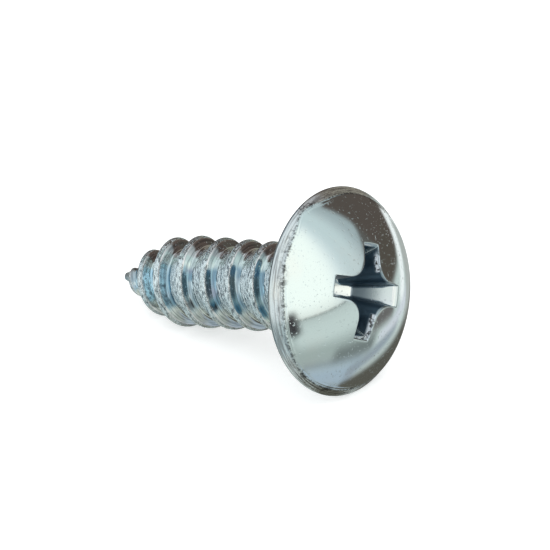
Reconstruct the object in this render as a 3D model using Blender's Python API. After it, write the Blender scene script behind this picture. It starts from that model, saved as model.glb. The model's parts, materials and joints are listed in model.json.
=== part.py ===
"""A truss-head tapping screw with a cross recess, lying on a flat surface as it comes to rest.

The screw is one cold-headed and thread-rolled piece. It is modelled upright about its own axis, head
upwards, with the bearing face of the head at height zero, and is then laid down on the rim of its head
and a crest of its thread. Metres, +Z up, head towards +X.
"""

import math

import bmesh
import bpy
from mathutils import Matrix, Vector

MM = 0.001

# Head: a low dome over a rounded rim, flat underneath.
HEAD_DIAMETER = 9.27 * MM
HEAD_HEIGHT = 2.08 * MM
CREASE_HEIGHT = 0.62 * MM  # where the dome meets the rim, above the bearing face
RIM_LEAN = 0.31 * MM  # how far the rim's side leans inwards up to the crease
RIM_ROUND = 0.16 * MM  # radius between the rim's side and the bearing face
CREASE_ROUND = 0.05 * MM  # how much of the corner between dome and rim is eased

# Shank under the head.
LENGTH = 12.47 * MM  # bearing face to the tip of the point
NECK_DIAMETER = 3.45 * MM
NECK_LENGTH = 0.55 * MM  # plain length left under the head
NECK_FILLET = 0.45 * MM
RUN_OUT = 1.1 * MM  # length over which the thread fades into the neck

# Thread: right-handed, spaced, with a crown that rolls down towards the head and a wide cylindrical root.
PITCH = 1.411 * MM
CREST_DIAMETER = 4.13 * MM  # at the full crest next to the point
CREST_BACK_TAPER = 0.17 * MM  # diameter lost from there to the head
ROOT_DIAMETER = 3.22 * MM
CROWN_BACK = 0.05 * MM  # edge of the crown on the point's side, from the thread's middle
CROWN_FRONT = 0.20 * MM  # edge of the crown on the head's side
CROWN_ROLL = 0.11 * MM  # how far the crown rolls down to its front edge
FRONT_FLANK = 0.27 * MM  # along the axis, from the crown to the end of the fillet
BACK_FLANK = 0.44 * MM
FLANK_STRAIGHT = 0.5  # share of a flank's length before its fillet
THREAD_TURN = math.radians(257)  # where round the axis the thread starts

# Point: the root runs down a cone and the crest closes in on it.
TIP_RADIUS = 0.18 * MM
TIP_NOSE = 0.06 * MM  # height of the rounded end below the tip radius
POINT_HALF_ANGLE = math.radians(19)
CREST_TAPER_LENGTH = 3.82 * MM
CREST_TAPER_POWER = 1.64  # 1 is a straight cone, more is a fuller ogive

# Cross recess for a number 2 cross driver.
RECESS_SPAN = 4.28 * MM  # wing tip to wing tip, at the dome
RECESS_DEPTH = 2.59 * MM  # from the top of the dome to the bottom of the recess
RECESS_TURN = math.radians(61)
RECESS_OFFSET = 0.09 * MM  # the punch struck this far off centre, along the second wing
WING_WIDTH = 0.95 * MM  # at the dome
WING_DRAFT = math.radians(6.5)  # each side of a wing
WING_END_DRAFT = math.radians(26.5)  # the outer end of a wing
CORNER_RADIUS = 0.8 * MM  # between two wings, at the dome
CORNER_DRAFT = math.radians(7.5)  # how fast that radius shrinks downwards
BOTTOM_SLOPE = math.radians(20)
CUTTER_MARGIN = 0.5 * MM  # how far the recess's cutter stands past the dome

# How finely the round shapes are divided.
SIDES = 60
DOME_STEPS = 12
ROUND_STEPS = 4
CORNER_STEPS = 5
MERGE_WITHIN = 0.001 * MM  # points closer together than this are one point
SHARP_ANGLE = math.radians(25)  # edges that turn more than this are shaded sharp
SPARE_TURNS = 2  # turns of the thread's rows past either end, so that they cover the whole shank
SETTLING_ROUNDS = 8  # how often the rim's lowest point and the crest's are looked for in turn

FULL_TURN = 2 * math.pi
ZINC_COLOUR = (0.62, 0.66, 0.68, 1.0)


def clear_scene():
    """Remove whatever the file was opened with."""
    for old in list(bpy.data.objects):
        bpy.data.objects.remove(old, do_unlink=True)


def zinc_plate():
    """Bright zinc plating, a slightly blue white metal."""
    material = bpy.data.materials.new("zinc_plate")
    material.use_nodes = True
    shader = material.node_tree.nodes["Principled BSDF"]
    shader.inputs["Base Color"].default_value = ZINC_COLOUR
    shader.inputs["Metallic"].default_value = 1.0
    shader.inputs["Roughness"].default_value = 0.22
    return material


def clamp(value, low=0.0, high=1.0):
    return max(low, min(high, value))


def ease(share):
    """A smooth step from 0 to 1."""
    share = clamp(share)
    return share * share * (3 - 2 * share)


def arc(centre, radius, start, end, steps):
    """Points (radius, height) along an arc. Its angles are measured from outwards towards upwards."""
    points = []
    for step in range(steps + 1):
        angle = start + (end - start) * step / steps
        points.append((centre[0] + radius * math.cos(angle), centre[1] + radius * math.sin(angle)))
    return points


def dome_radius():
    """Radius of the dome's sphere, which passes through the crease and the top of the head."""
    crease = HEAD_DIAMETER / 2 - RIM_LEAN
    rise = HEAD_HEIGHT - CREASE_HEIGHT
    return (crease**2 + rise**2) / (2 * rise)


def dome_height(radius):
    """Height of the dome above the bearing face at a distance from the axis."""
    return HEAD_HEIGHT - dome_radius() + math.sqrt(dome_radius() ** 2 - radius**2)


def side_lean():
    """Angle by which the rim's side leans in, on the line from its rounded lower edge to the crease."""
    inwards = RIM_ROUND - RIM_LEAN
    upwards = CREASE_HEIGHT - RIM_ROUND
    return math.atan2(upwards, inwards) - math.acos(RIM_ROUND / math.hypot(inwards, upwards))


def head_profile():
    """(radius, height) points of the neck and the head, from the thread's end to below the dome's top."""
    neck = NECK_DIAMETER / 2
    rim = HEAD_DIAMETER / 2
    crease = rim - RIM_LEAN
    points = [(neck, -NECK_FILLET)]
    points += arc((neck + NECK_FILLET, -NECK_FILLET), NECK_FILLET, math.pi, math.pi / 2, ROUND_STEPS)[1:]
    lean = side_lean()
    points += arc((rim - RIM_ROUND, RIM_ROUND), RIM_ROUND, -math.pi / 2, lean, ROUND_STEPS)
    below = CREASE_ROUND * math.cos(lean)
    points.append((crease + CREASE_ROUND * math.sin(lean), CREASE_HEIGHT - below))
    inner = crease - CREASE_ROUND
    points.append((inner, dome_height(inner)))
    outer_angle = math.asin(inner / dome_radius())
    for step in range(1, DOME_STEPS):
        radius = dome_radius() * math.sin(outer_angle * (1 - step / DOME_STEPS))
        points.append((radius, dome_height(radius)))
    return points


def flank_height(share):
    """Height left on a flank at a share of its length: straight, then a fillet that ends level."""
    slope = 2 / (1 + FLANK_STRAIGHT)
    if share <= FLANK_STRAIGHT:
        return 1 - slope * share
    return slope * (1 - share) ** 2 / (2 * (1 - FLANK_STRAIGHT))


def thread_knots():
    """One pitch of the thread: (distance along the axis from the crest's middle, share of the full depth)."""
    depth = (CREST_DIAMETER - ROOT_DIAMETER) / 2
    front = 1 - CROWN_ROLL / depth
    knots = []
    for share in (1, FLANK_STRAIGHT, 0):
        knots.append((-CROWN_BACK - BACK_FLANK * share, flank_height(share)))
    for share in (0.5, 1):
        along = -CROWN_BACK + (CROWN_FRONT + CROWN_BACK) * share
        knots.append((along, 1 - (1 - front) * share**2))
    for share in (FLANK_STRAIGHT, (1 + FLANK_STRAIGHT) / 2, 1):
        knots.append((CROWN_FRONT + FRONT_FLANK * share, front * flank_height(share)))
    return knots


def shank_radius(height, share):
    """Distance from the axis at a height, between the root at share 0 and the crest at share 1."""
    from_tip = height + LENGTH - TIP_NOSE
    full_root = ROOT_DIAMETER / 2
    root = min(full_root, TIP_RADIUS + from_tip * math.tan(POINT_HALF_ANGLE))
    along = clamp((from_tip - CREST_TAPER_LENGTH) / (LENGTH - CREST_TAPER_LENGTH))
    full_crest = (CREST_DIAMETER - CREST_BACK_TAPER * along) / 2
    closing = clamp(1 - from_tip / CREST_TAPER_LENGTH) ** CREST_TAPER_POWER
    crest = max(root, TIP_RADIUS + (full_crest - TIP_RADIUS) * (1 - closing))
    threaded = root + (crest - root) * share
    neck = NECK_DIAMETER / 2
    return neck + (threaded - neck) * ease((-NECK_LENGTH - height) / RUN_OUT)


def thread_column(angle, knots, turns):
    """(radius, height) points up the shank on one side of it.

    The knots climb by a pitch in each turn. Those past either end of the thread gather on its end ring.
    """
    low = -LENGTH + TIP_NOSE
    high = -NECK_LENGTH
    start = low - SPARE_TURNS * PITCH + PITCH * (angle / FULL_TURN)
    column = []
    for turn in range(turns):
        for along, share in knots:
            height = clamp(start + turn * PITCH + along, low, high)
            column.append((shank_radius(height, share), height))
    return column


def screw_body():
    """The whole screw without its recess: helical rows up the shank, then plain rings up to the dome."""
    knots = thread_knots()
    turns = math.ceil((LENGTH - TIP_NOSE - NECK_LENGTH) / PITCH) + 2 * SPARE_TURNS
    head = head_profile()
    mesh = bmesh.new()
    tip = mesh.verts.new((0, 0, -LENGTH))
    top = mesh.verts.new((0, 0, HEAD_HEIGHT))
    shank_columns = []
    head_columns = []
    for side in range(SIDES):
        # A flat between two columns faces the floor, so each column stands half a step round.
        angle = FULL_TURN * (side + 0.5) / SIDES
        turned = angle + THREAD_TURN
        direction = Vector((math.cos(angle), math.sin(angle)))

        def place(profile):
            """One vertex for each (radius, height) point, in this column's direction."""
            return [mesh.verts.new((*(direction * radius), height)) for radius, height in profile]

        shank_columns.append(place(thread_column(turned, knots, turns)))
        head_columns.append(place(head))
    last_row = len(shank_columns[0]) - 1
    for side in range(SIDES):
        beside = (side + 1) % SIDES
        # One turn on, a row of the thread is a whole pitch of rows higher.
        shift = len(knots) if beside == 0 else 0
        here, there = shank_columns[side], shank_columns[beside]
        for row in range(last_row):
            right = min(row + shift, last_row)
            right_above = min(row + 1 + shift, last_row)
            add_face(mesh, (here[row], there[right], there[right_above], here[row + 1]))
        add_face(mesh, (tip, there[0], here[0]))
        add_face(mesh, (here[-1], there[-1], head_columns[beside][0], head_columns[side][0]))
        here, there = head_columns[side], head_columns[beside]
        for row in range(len(head) - 1):
            add_face(mesh, (here[row], there[row], there[row + 1], here[row + 1]))
        add_face(mesh, (here[-1], there[-1], top))
    bmesh.ops.remove_doubles(mesh, verts=mesh.verts, dist=MERGE_WITHIN)
    bmesh.ops.recalc_face_normals(mesh, faces=mesh.faces)
    return as_object("screw", mesh)


def add_face(mesh, corners):
    """A face on those corners that are not the same point twice."""
    different = list(dict.fromkeys(corners))
    if len(different) > 2:
        mesh.faces.new(different)


def as_object(name, mesh):
    data = bpy.data.meshes.new(name)
    mesh.to_mesh(data)
    mesh.free()
    made = bpy.data.objects.new(name, data)
    bpy.context.scene.collection.objects.link(made)
    return made


def recess_centre():
    """Where the recess's own axis crosses the bearing face's plane."""
    second_wing = RECESS_TURN + math.pi / 2
    return Vector((math.cos(second_wing), math.sin(second_wing), 0)) * RECESS_OFFSET


def cross_outline(height):
    """The recess's outline at a height: four wings with rounded corners between them."""
    below = dome_height(RECESS_SPAN / 2) - height
    half_width = WING_WIDTH / 2 - below * math.tan(WING_DRAFT)
    reach = RECESS_SPAN / 2 - below * math.tan(WING_END_DRAFT)
    corner = CORNER_RADIUS - below * math.tan(CORNER_DRAFT)
    end_angle = math.asin(half_width / reach)
    shoulder = reach * math.cos(end_angle)
    quarter = [(shoulder, -half_width), (reach, 0.0), (shoulder, half_width)]
    for step in range(CORNER_STEPS + 1):
        angle = 1.5 * math.pi - 0.5 * math.pi * step / CORNER_STEPS
        quarter.append(
            (
                half_width + corner + corner * math.cos(angle),
                half_width + corner + corner * math.sin(angle),
            )
        )
    outline = []
    centre = recess_centre()
    for wing in range(4):
        turn = Matrix.Rotation(RECESS_TURN + wing * math.pi / 2, 3, "Z")
        outline += [centre + turn @ Vector((x, y, height)) for x, y in quarter]
    return outline


def cross_prism(low, high):
    """The wings and the core of the recess, tapering downwards, with flat ends."""
    mesh = bmesh.new()
    rings = [[mesh.verts.new(point) for point in cross_outline(height)] for height in (low, high)]
    count = len(rings[0])
    for index in range(count):
        beside = (index + 1) % count
        mesh.faces.new((rings[0][index], rings[0][beside], rings[1][beside], rings[1][index]))
    mesh.faces.new(rings[0][::-1])
    mesh.faces.new(rings[1])
    bmesh.ops.recalc_face_normals(mesh, faces=mesh.faces)
    return as_object("recess_wings", mesh)


def recess_floor(high):
    """A turned body whose underside is the shallow cone at the bottom of the recess."""
    bottom = HEAD_HEIGHT - RECESS_DEPTH
    outer = RECESS_SPAN / 2 + CUTTER_MARGIN
    profile = [(0, bottom), (outer, bottom + outer * math.tan(BOTTOM_SLOPE)), (outer, high), (0, high)]
    mesh = bmesh.new()
    verts = [mesh.verts.new((radius, 0, height)) for radius, height in profile]
    edges = [mesh.edges.new(pair) for pair in zip(verts, verts[1:])]
    bmesh.ops.spin(
        mesh, geom=verts + edges, cent=(0, 0, 0), axis=(0, 0, 1), angle=FULL_TURN, steps=SIDES, use_merge=True
    )
    bmesh.ops.translate(mesh, verts=mesh.verts, vec=recess_centre())
    bmesh.ops.remove_doubles(mesh, verts=mesh.verts, dist=MERGE_WITHIN)
    bmesh.ops.recalc_face_normals(mesh, faces=mesh.faces)
    return as_object("recess_floor", mesh)


def add_boolean(target, cutter, operation):
    modifier = target.modifiers.new(cutter.name, "BOOLEAN")
    modifier.operation = operation
    modifier.solver = "EXACT"
    modifier.object = cutter
    cutter.hide_render = True
    cutter.display_type = "WIRE"


def cut_recess(body):
    """Cut the cross recess into the dome."""
    bottom = HEAD_HEIGHT - RECESS_DEPTH
    top = HEAD_HEIGHT + CUTTER_MARGIN
    wings = cross_prism(bottom - CUTTER_MARGIN / 2, top)
    floor = recess_floor(top + CUTTER_MARGIN)
    add_boolean(wings, floor, "INTERSECT")
    add_boolean(body, wings, "DIFFERENCE")
    return [wings, floor]


def resting_tilt(points):
    """How far the axis tips down towards the point once the screw lies on its rim and a thread crest.

    The floor's side is +X. The lowest point of the head and the thread crest that meets the floor first
    are looked for in turn, since the rim's edge is rounded.
    """
    head = [point for point in points if point.z >= 0]
    shank = [point for point in points if point.z < -NECK_LENGTH]
    tilt = 0.0
    for _ in range(SETTLING_ROUNDS):
        rim = max(head, key=lambda point: point.x * math.cos(tilt) - point.z * math.sin(tilt))
        tilt = min(math.atan2(rim.x - point.x, rim.z - point.z) for point in shank)
    return tilt


def lay_down(pieces, body):
    """Turn the screw onto the floor, its box's bottom centre at the origin."""
    points = [vertex.co.copy() for vertex in body.data.vertices]
    turn = Matrix.Rotation(math.pi / 2 - resting_tilt(points), 3, "Y")
    turned = [turn @ point for point in points]
    low = [min(point[axis] for point in turned) for axis in range(3)]
    high = [max(point[axis] for point in turned) for axis in range(3)]
    stand = bpy.data.objects.new("resting_place", None)
    bpy.context.scene.collection.objects.link(stand)
    stand.rotation_euler = turn.to_euler()
    stand.location = (-(low[0] + high[0]) / 2, -(low[1] + high[1]) / 2, -low[2])
    for piece in pieces:
        piece.parent = stand


def main():
    clear_scene()
    body = screw_body()
    body.data.materials.append(zinc_plate())
    body.data.shade_smooth()
    body.data.set_sharp_from_angle(angle=SHARP_ANGLE)
    cutters = cut_recess(body)
    lay_down([body] + cutters, body)


main()
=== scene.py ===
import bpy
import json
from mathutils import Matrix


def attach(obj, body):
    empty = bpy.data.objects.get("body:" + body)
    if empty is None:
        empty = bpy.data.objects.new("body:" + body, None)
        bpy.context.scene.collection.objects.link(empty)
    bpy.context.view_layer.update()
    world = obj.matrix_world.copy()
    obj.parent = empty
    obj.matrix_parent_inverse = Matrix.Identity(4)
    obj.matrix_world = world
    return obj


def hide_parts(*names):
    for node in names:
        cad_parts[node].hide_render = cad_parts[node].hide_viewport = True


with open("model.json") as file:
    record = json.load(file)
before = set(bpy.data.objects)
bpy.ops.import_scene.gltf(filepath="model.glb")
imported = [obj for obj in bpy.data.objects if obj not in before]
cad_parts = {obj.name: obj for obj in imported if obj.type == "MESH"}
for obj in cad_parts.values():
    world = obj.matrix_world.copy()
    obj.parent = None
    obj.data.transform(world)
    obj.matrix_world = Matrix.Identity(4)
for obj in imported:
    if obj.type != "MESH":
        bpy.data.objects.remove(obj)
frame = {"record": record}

"""Looks of a truss-head tapping screw: its fine surface, its zinc plating, and the studio it lies in.

Sizes are in metres. The screw is worked out about its own axis first: +Z towards the head, the bearing face
of the head at height zero, and +X the side that lies towards the floor. It is then laid where the CAD has it.
"""

import enum
import json
import logging
import math
from collections.abc import Callable
from dataclasses import dataclass, field

import bmesh
import bpy
import numpy as np
from mathutils import Vector

Array = np.ndarray
NodeSocket = bpy.types.NodeSocket
Colour = tuple[float, float, float]

MM = 0.001
FULL_TURN = 2.0 * math.pi
LOG = logging.getLogger("screw")

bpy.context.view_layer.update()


def shares(count: int) -> Array:
    """Even steps from 0 to 1."""
    return np.linspace(0.0, 1.0, count)


def smooth_step(share: Array) -> Array:
    """A smooth rise from 0 to 1: 3 s^2 - 2 s^3 of the share s, held between 0 and 1."""
    held = np.clip(share, 0.0, 1.0)
    return held * held * (3.0 - 2.0 * held)


def fade(value: Array, middle: float, width: float) -> Array:
    """A bell round the middle value: exp(-((value - middle) / width)^2)."""
    return np.exp(-(((value - middle) / width) ** 2))


def bezier(start: Array, corner: Array, end: Array, t: Array) -> Array:
    """A corner's rounding: (1 - t)^2 start + 2 t (1 - t) corner + t^2 end."""
    return (1 - t) ** 2 * start + 2 * t * (1 - t) * corner + t**2 * end


def turned(radius: Array, height: Array, angles: Array) -> Array:
    """Points of a turned surface: (radius cos angle, radius sin angle, height)."""
    return np.stack([radius * np.cos(angles), radius * np.sin(angles), height], -1)


def add_object(name: str, data: bpy.types.ID) -> bpy.types.Object:
    """Puts an object into the scene.

    Args:
        name: the object's name.
        data: its mesh, lamp or camera.

    Returns:
        The object, at the origin.
    """
    made = bpy.data.objects.new(name, data)
    bpy.context.scene.collection.objects.link(made)
    return made


@dataclass
class SurfaceRows:
    """Rows of points round the screw, with what the plating needs to know at each of them."""

    points: Array
    facts: dict[str, Array]

    def fact(self, name: str) -> Array:
        """The named measure on every point, zero where it wasn't given."""
        return np.broadcast_to(self.facts.get(name, 0.0), self.points.shape[:2])


@dataclass
class CrossRecess:
    """A size 2 cross recess: four tapering wings with rounded corners between them over a shallow cone."""

    span: float = 4.28 * MM
    depth: float = 2.59 * MM
    turn: float = math.radians(61)
    offset: float = 0.09 * MM
    wing_width: float = 0.95 * MM
    wing_draft: float = math.radians(6.5)
    end_draft: float = math.radians(26.5)
    corner_radius: float = 0.8 * MM
    corner_draft: float = math.radians(7.5)
    bottom_slope: float = math.radians(20)
    end_round: float = 0.06 * MM
    deep_end_round: float = 0.12 * MM
    round_growth: float = 0.4 * MM
    most_end_cut: float = 0.8
    chamfer: float = 0.10 * MM
    chamfer_depth: float = 0.14 * MM
    end_hollow: float = 0.01 * MM
    lip: float = 0.08 * MM
    end_lip: float = 0.05 * MM
    end_blend: float = math.radians(2)
    floor_round: float = 0.1 * MM
    torn_sides: tuple[float, float] = (math.radians(66), math.radians(291))
    torn_half_width: float = math.radians(11)
    torn_ends: float = math.radians(4)
    torn_depth: float = 0.36 * MM
    end_points: int = 6
    round_points: int = 5
    side_points: int = 11
    corner_points: int = 15
    wall_rows: int = 22
    wall_spacing: float = 1.5
    floor_rows: int = 9
    depth_levels: int = 80

    def centre(self) -> Array:
        """(x, y) where the recess's own axis crosses the plane of the bearing face."""
        along = self.turn + math.pi / 2
        return self.offset * np.array([math.cos(along), math.sin(along)])

    def eighth(self, below: Array) -> Array:
        """Half a wing of the outline, from the middle of its end to the diagonal between two wings.

        The end is hollowed by a parabola, its corner is rounded, more so further down, the side is straight
        and runs into an arc that rounds the corner between two wings. Every length shrinks with depth as its
        draft says, and the end leans in more over its chamfer.

        Args:
            below: depth under the wing ends' height at the dome, (rows,).

        Returns:
            (rows, points, 2) in the wing's own directions, along it and across it.
        """
        below = below[:, None]
        half = self.wing_width / 2 - below * math.tan(self.wing_draft)
        chamfered = self.chamfer * np.clip(below / self.chamfer_depth, 0.0, 1.0)
        shoulder = self.span / 2 - self.end_hollow - below * math.tan(self.end_draft) - chamfered
        corner = self.corner_radius - below * math.tan(self.corner_draft)
        deeper = smooth_step((below - self.chamfer_depth) / self.round_growth)
        rounding = self.end_round + (self.deep_end_round - self.end_round) * deeper
        cut = np.minimum(rounding, self.most_end_cut * half)
        across = (1 - cut / half) * shares(self.end_points)
        end = np.stack([shoulder + self.end_hollow * (1 - across**2), half * across], -1)
        tip = np.stack([shoulder, half], -1)
        side_start = np.stack([shoulder - cut, half], -1)
        end_corner = bezier(end[:, -1:], tip, side_start, shares(self.round_points)[1:, None])
        side_end = np.stack([half + corner, half], -1)
        side = side_start + (side_end - side_start) * shares(self.side_points)[1:, None]
        angle = math.radians(270) - math.radians(45) * shares(self.corner_points)[1:]
        arc = np.stack([half + corner * (1 + np.cos(angle)), half + corner * (1 + np.sin(angle))], -1)
        return np.concatenate([end, end_corner, side, arc], 1)

    def outline(self, below: Array) -> Array:
        """The recess's whole outline at one depth per row.

        Args:
            below: depth under the wing ends' height at the dome, (rows,).

        Returns:
            (rows, columns, 2) in the screw's own x and y.
        """
        half = self.eighth(below)
        # Mirrored in the diagonal the half wing becomes the next wing's first half, run backwards.
        quarter = np.concatenate([half[:, :-1], half[:, :0:-1, ::-1]], 1)
        wings = []
        for angle in self.turn + FULL_TURN / 4 * np.arange(4):
            cos, sin = math.cos(angle), math.sin(angle)
            wings.append(quarter @ np.array([[cos, sin], [-sin, cos]]))
        return np.concatenate(wings, 1) + self.centre()

    def column_outline(self, below: Array) -> Array:
        """The outline with a depth of its own for every column.

        Args:
            below: depth for each row and column, (rows, columns).

        Returns:
            (rows, columns, 2), read between the outlines at evenly spaced depths.
        """
        margin = 0.001 * MM
        levels = np.linspace(below.min() - margin, below.max() + margin, self.depth_levels)
        table = self.outline(levels)
        place = (below - levels[0]) / (levels[-1] - levels[0]) * (len(levels) - 1)
        low = np.clip(place.astype(int), 0, len(levels) - 2)
        share = (place - low)[..., None]
        column = np.arange(table.shape[1])
        return table[low, column] * (1 - share) + table[low + 1, column] * share

    def angles(self) -> Array:
        """Angle of each column's point on the outline's top, seen from the recess's own axis, (columns,)."""
        x, y = (self.outline(np.zeros(1))[0] - self.centre()).T
        return np.arctan2(y, x)

    def is_end(self) -> Array:
        """Which columns lie on a wing's end.

        Returns:
            (columns,) 1 on an end and 0 elsewhere, with a smooth step between.
        """
        eighth_turn = FULL_TURN / 8
        aside = (self.angles() - self.turn + eighth_turn) % (2 * eighth_turn) - eighth_turn
        corner = math.atan2(self.wing_width / 2, self.span / 2 - self.end_hollow)
        return smooth_step((corner - np.abs(aside)) / self.end_blend + 0.5)

    def is_torn(self) -> Array:
        """1 along the two wing sides that the driver tore, one each side of the recess, (columns,)."""
        around = (self.angles() - self.turn) % FULL_TURN
        aside = np.abs(around - np.array(self.torn_sides)[:, None])
        return smooth_step((self.torn_half_width - aside) / self.torn_ends).sum(0)


@dataclass(frozen=True)
class CreaseShift:
    """A stretch of the head's crease that strays out of its circle, or into it where outwards is negative."""

    angle: float
    width: float
    outwards: float

    def at(self, angles: Array) -> Array:
        """The shift at angles round the head: a bell round its own angle."""
        aside = (angles - self.angle + math.pi) % FULL_TURN - math.pi
        return self.outwards * fade(aside, 0.0, self.width)


@dataclass
class TrussHead:
    """A low dome over a leaning rim, flat underneath, with the cross recess in it."""

    diameter: float = 9.27 * MM
    height: float = 2.08 * MM
    crease_height: float = 0.62 * MM
    rim_lean: float = 0.31 * MM
    rim_round: float = 0.16 * MM
    crease_round: float = 0.04 * MM
    neck_fillet: float = 0.45 * MM
    bead_height: float = 0.006 * MM
    bead_width: float = 0.09 * MM
    crease_shifts: tuple[CreaseShift, ...] = (
        CreaseShift(math.radians(197), math.radians(11), 0.23 * MM),
        CreaseShift(math.radians(254), math.radians(16), -0.09 * MM),
        CreaseShift(math.radians(303), math.radians(20), 0.11 * MM),
    )
    recess: CrossRecess = field(default_factory=CrossRecess)
    fillet_rows: int = 9
    edge_rows: int = 10
    round_rows: int = 6
    dome_rows: int = 30
    dome_spacing: float = 1.25
    even_columns: float = 0.55
    face_shares: tuple[float, ...] = (0.15, 0.4, 0.65, 0.9)
    side_shares: tuple[float, ...] = (0.3, 0.65)
    # Places and widths of the marks along the crease, of the painted shade along the lower edge, and of the
    # painted shade in the wings.
    mark_height: float = 0.2 * MM
    dots_out: float = 0.012 * MM
    dots_width: float = 0.028 * MM
    smear_out: float = 0.04 * MM
    smear_width: float = 0.12 * MM
    rim_blend: float = 0.05 * MM
    foot_height: float = 0.19 * MM
    foot_blend: float = 0.06 * MM
    foot_inset_blend: float = 0.04 * MM
    lip_share: float = 0.6
    end_shade: float = 0.7
    end_shade_start: float = 0.3 * MM
    end_shade_reach: float = 1.4 * MM
    torn_blend: float = 0.15 * MM

    def dome_radius(self) -> float:
        """Radius of the sphere through the crease at c and the top, h above it: (c^2 + h^2) / (2 h)."""
        rise = self.height - self.crease_height
        return ((self.diameter / 2 - self.rim_lean) ** 2 + rise**2) / (2 * rise)

    def dome_height(self, radius: Array) -> Array:
        """Height of the dome above the bearing face at distances from the axis."""
        sphere = self.dome_radius()
        return self.height - sphere + np.sqrt(sphere**2 - radius**2)

    def dome_over(self, flat: Array) -> Array:
        """Height of the dome over (x, y) places of any shape."""
        return self.dome_height(np.linalg.norm(flat, axis=-1))

    def cone_over(self, flat: Array) -> Array:
        """Height of the cone at the recess's bottom over (x, y) places."""
        out = np.linalg.norm(flat - self.recess.centre(), axis=-1)
        return self.height - self.recess.depth + out * math.tan(self.recess.bottom_slope)

    def wing_height(self) -> float:
        """Height of the dome at the wings' ends, which the recess's depths are measured from."""
        return float(self.dome_height(np.array(self.recess.span / 2)))

    def column_angles(self) -> Array:
        """Angle of each column round the head, between even spacing and that of the recess's outline."""
        seen = np.unwrap(self.recess.angles())
        even = seen[0] + FULL_TURN * np.arange(len(seen)) / len(seen)
        return seen + (even - seen) * self.even_columns

    def crease_radius(self, angles: Array) -> Array:
        """Distance of the crease from the axis at angles round the head."""
        return self.diameter / 2 - self.rim_lean + sum(shift.at(angles) for shift in self.crease_shifts)

    def side_lean(self) -> float:
        """Angle that the rim's side leans in by, where it touches the lower round and meets the crease."""
        inwards = self.rim_round - self.rim_lean
        upwards = self.crease_height - self.rim_round
        return math.atan2(upwards, inwards) - math.acos(self.rim_round / math.hypot(inwards, upwards))

    def underside(self, neck_radius: float, angles: Array) -> Array:
        """The profile from the neck's fillet, along the bearing face and up the rim, to inside the crease.

        The lower edge is an arc, the side a straight line from it to the crease, the crease a small rounded
        corner, and inside it runs a low bead, sin^2 of its share, where the metal was pushed up.

        Args:
            neck_radius: radius that the fillet starts from.
            angles: angle of each column.

        Returns:
            (rows, columns, 2) radius and height.
        """
        fillet, rounding, rim = self.neck_fillet, self.rim_round, self.diameter / 2
        turn = np.linspace(math.pi, math.pi / 2, self.fillet_rows)
        neck = np.stack([neck_radius + fillet * (1 + np.cos(turn)), fillet * (np.sin(turn) - 1)], -1)
        face = neck[-1, 0] + (rim - rounding - neck[-1, 0]) * np.array(self.face_shares)
        face = np.stack([face, 0 * face], -1)
        turn = np.linspace(-math.pi / 2, self.side_lean(), self.edge_rows)
        edge = np.stack([rim - rounding * (1 - np.cos(turn)), rounding * (1 + np.sin(turn))], -1)
        radius = self.crease_radius(angles)
        crease = np.stack([radius, self.dome_height(radius)], -1)
        lower = np.concatenate([neck, face, edge])[:, None, :] + 0 * crease
        along = crease - lower[-1]
        before = crease - along / np.linalg.norm(along, axis=-1, keepdims=True) * self.crease_round
        side = lower[-1] + (before - lower[-1]) * np.array(self.side_shares)[:, None, None]
        inner = radius - self.crease_round
        after = np.stack([inner, self.dome_height(inner)], -1)
        corner = bezier(before, crease, after, shares(self.round_rows)[:, None, None])
        share = shares(self.round_rows)[1:, None]
        bead = inner - self.bead_width * share
        bead = np.stack([bead, self.dome_height(bead) + self.bead_height * np.sin(math.pi * share) ** 2], -1)
        return np.concatenate([lower, side, corner, bead])

    def meeting(self, height_over: Callable[[Array], Array], rounds: int = 20) -> tuple[Array, Array]:
        """Where the recess's walls meet a surface, found by stepping down each column till it settles.

        Args:
            height_over: the surface's height over (x, y) places.
            rounds: how often to step.

        Returns:
            (columns, 3) the points, and (columns,) their depth under the wing ends' height.
        """
        below = np.zeros(len(self.recess.angles()))
        for _ in range(rounds):
            flat = self.recess.column_outline(below[None, :])[0]
            height = height_over(flat)
            below = self.wing_height() - height
        return np.concatenate([flat, height[:, None]], -1), below

    def wall_point(self, below: Array) -> Array:
        """Points on the recess's wall at a depth for each row and column, (rows, columns, 3)."""
        flat = self.recess.column_outline(below)
        return np.concatenate([flat, (self.wing_height() - below)[..., None]], -1)

    def rows(self, neck_radius: float) -> SurfaceRows:
        """All the head's rows, from the neck over the rim and the dome to the middle of the recess.

        Between the crease and the recess a row is a straight mix, in plan, of the crease's circle and the
        recess's outline, lifted onto the dome. Down the wall a column follows the drafts, and along the
        bottom it runs straight to the recess's axis.

        Args:
            neck_radius: radius of the neck that the fillet starts from.

        Returns:
            The rows and their facts.
        """
        recess, angles = self.recess, self.column_angles()
        radius, height = np.moveaxis(self.underside(neck_radius, angles), -1, 0)
        outside = turned(radius, height, angles)
        edge, edge_below = self.meeting(self.dome_over)
        foot, foot_below = self.meeting(self.cone_over)
        ring = outside[-1][:, :2]
        outward = ring - edge[:, :2]
        lip_reach = recess.lip + (recess.end_lip - recess.lip) * recess.is_end()
        near = edge[:, :2] + outward * (lip_reach / np.linalg.norm(outward, axis=-1))[:, None]
        dome = ring + (near - ring) * (shares(self.dome_rows + 1)[1:] ** self.dome_spacing)[:, None, None]
        dome = np.concatenate([dome, self.dome_over(dome)[..., None]], -1)
        start, stop = edge_below + lip_reach, foot_below - recess.floor_round
        round_steps = shares(self.round_rows)[1:, None, None]
        lip = bezier(dome[-1], edge, self.wall_point(start[None, :])[0], round_steps)
        down = shares(recess.wall_rows)[1:, None] ** recess.wall_spacing
        wall = self.wall_point(start + (stop - start) * down)
        middle = np.append(recess.centre(), self.height - recess.depth)
        inward = middle - foot
        floor_edge = foot + inward * (recess.floor_round / np.linalg.norm(inward, axis=-1))[:, None]
        foot_round = bezier(wall[-1], foot, floor_edge, round_steps)
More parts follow.
